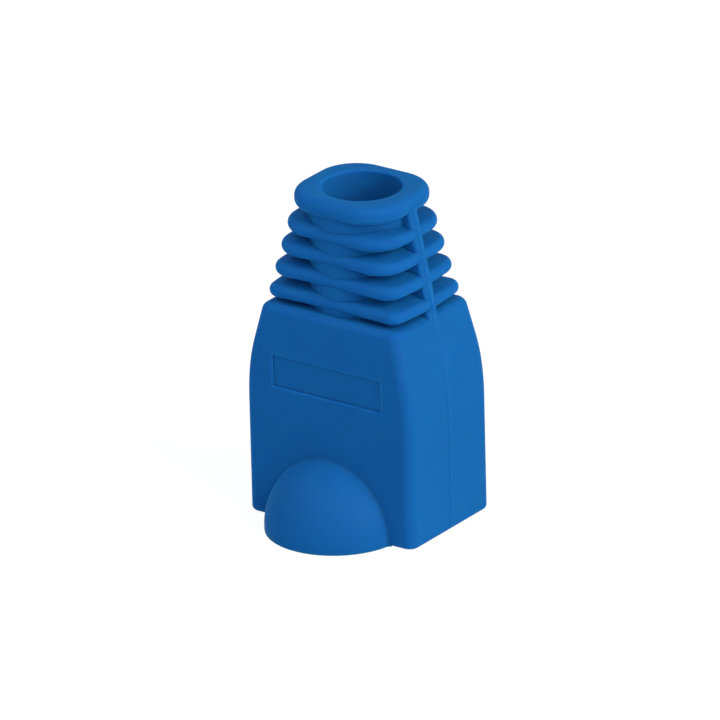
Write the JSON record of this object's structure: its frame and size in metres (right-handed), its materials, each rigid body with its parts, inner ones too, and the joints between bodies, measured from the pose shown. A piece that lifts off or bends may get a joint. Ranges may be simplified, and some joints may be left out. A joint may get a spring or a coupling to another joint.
{
  "type": "rj45 strain relief boot",
  "caption": "Soft moulded boot for the cable end of an RJ45 plug: a tapered housing with a rounded latch hood, and a flexible ribbed neck round the cable.",
  "frame": {"origin": "middle of the plug mouth, in its plane, on the axis of the cable bore", "axes": "+Z from the plug mouth to the cable end, along the bore; -Y towards the latch hood; X across the width of the plug"},
  "size_m": [0.0144, 0.0141, 0.0249],
  "materials": {
    "blue_pvc": "saturated blue soft PVC, moulded, satin to matte"
  },
  "bodies": {
    "root": {"boot": "blue_pvc"}
  },
  "joints": []
}
